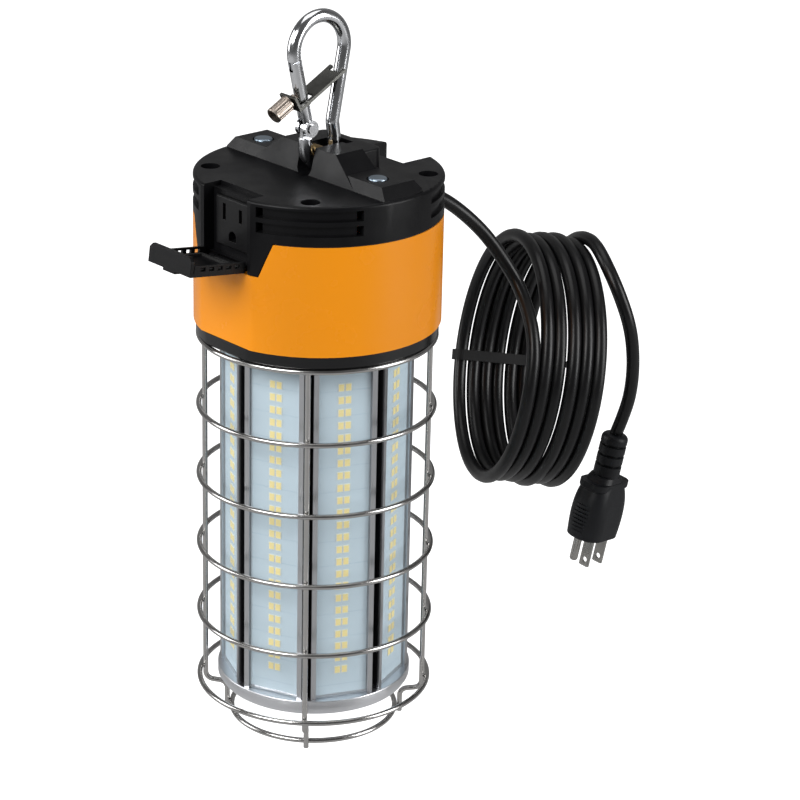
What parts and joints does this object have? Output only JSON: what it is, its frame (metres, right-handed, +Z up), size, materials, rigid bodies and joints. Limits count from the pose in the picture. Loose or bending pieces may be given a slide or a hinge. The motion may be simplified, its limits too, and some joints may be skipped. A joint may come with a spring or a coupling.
{
  "type": "hanging work light",
  "caption": "Hanging LED work light with a wire guard, a snap hook on top, a covered outlet in its cap and a coiled mains lead with plug.",
  "frame": {"origin": "inner top of the hook's crown, where the light hangs", "axes": "+Z up, -Y out of the outlet, +Y towards the cord, X along the hook pin"},
  "size_m": [0.1508, 0.3266, 0.388],
  "materials": {
    "hook_chrome": "polished",
    "pin_steel": "plain",
    "strip_zinc": "dark zinc",
    "screw_nickel": "knurled nickel",
    "cap_black": "fine grain",
    "fastener_zinc": "zinc",
    "outlet_black": "satin",
    "contact_brass": "plain",
    "door_black": "fine grain",
    "seal_rubber": "matte",
    "shell_orange": "semi gloss",
    "base_black": "gloss",
    "tray_aluminium": "plain",
    "board_green": "plain",
    "driver_parts": "plain",
    "core_aluminium": "satin anodised",
    "end_cap_aluminium": "satin",
    "led_board_white": "satin",
    "lens_clear": "clear",
    "guard_steel": "polished wire",
    "cord_black": "semi gloss",
    "tie_black": "matte",
    "plug_black": "matte",
    "blade_nickel": "nickel"
  },
  "bodies": {
    "hook": {"hook_frame": "hook_chrome", "gate_rivet": "hook_chrome"},
    "gate": {"hook_gate": "hook_chrome", "gate_spring": "pin_steel", "gate_plunger": "pin_steel"},
    "bracket": {"lock_bracket": "strip_zinc"},
    "lock_screw": {"lock_screw": "screw_nickel"},
    "lamp": {"top_cap": "cap_black", "cap_screws": "fastener_zinc", "cap_bolts": "fastener_zinc", "outlet_receptacle": "outlet_black", "outlet_contacts": "contact_brass", "door_hinge_pin": "pin_steel", "cord_gland": "cord_black", "housing_gasket": "seal_rubber", "housing_shell": "shell_orange", "base_ring": "base_black", "base_screws": "fastener_zinc", "driver_tray": "tray_aluminium", "driver_board": "board_green", "driver_transformer": "driver_parts", "driver_capacitors": "driver_parts", "terminal_block": "driver_parts", "panel_extrusions": "core_aluminium", "led_boards": "led_board_white", "lens_covers": "lens_clear", "core_tube": "core_aluminium", "core_top_plate": "core_aluminium", "core_screws": "fastener_zinc", "core_end_cap": "end_cap_aluminium", "guard_top_ring": "guard_steel", "guard_foot_ring": "guard_steel", "guard_uprights": "guard_steel", "cord_coil": "cord_black", "coil_tie": "tie_black", "plug_body": "plug_black", "plug_blades": "blade_nickel", "plug_ground_pin": "blade_nickel", "hook_pin": "pin_steel", "cord_lead": "cord_black", "cord_tail": "cord_black", "guard_ring_1": "guard_steel", "guard_ring_2": "guard_steel", "guard_ring_3": "guard_steel", "guard_ring_4": "guard_steel", "guard_ring_5": "guard_steel"},
    "door": {"outlet_door": "door_black", "door_seal": "seal_rubber"}
  },
  "joints": [
    {"name": "lamp_swing", "type": "hinge", "parent": "hook", "child": "lamp", "pos_m": [0, 0, -0.066], "axis": [1, 0, 0], "range_deg": [-25, 25]},
    {"name": "gate_open", "type": "hinge", "parent": "hook", "child": "gate", "pos_m": [0, -0.0085, -0.0528], "axis": [1, 0, 0], "range_deg": [-12, 0], "stiffness_Nm_per_rad": 0.05, "springref_deg": 17.19},
    {"name": "bracket_tilt", "type": "hinge", "parent": "gate", "child": "bracket", "pos_m": [0, -0.01198, -0.038], "axis": [1, 0, 0], "range_deg": [0, 24]},
    {"name": "lock_screw_turn", "type": "hinge", "parent": "bracket", "child": "lock_screw", "pos_m": [0, -0.02457, -0.03995], "axis": [0, 0.8788, 0.4772], "continuous": true},
    {"name": "door_close", "type": "hinge", "parent": "lamp", "child": "door", "pos_m": [0, -0.0598, -0.1133], "axis": [1, 0, 0], "range_deg": [-82, 0]}
  ],
  "couplings": [
    {"joint": "bracket_tilt", "follows": "gate_open", "ratio": -2}
  ]
}
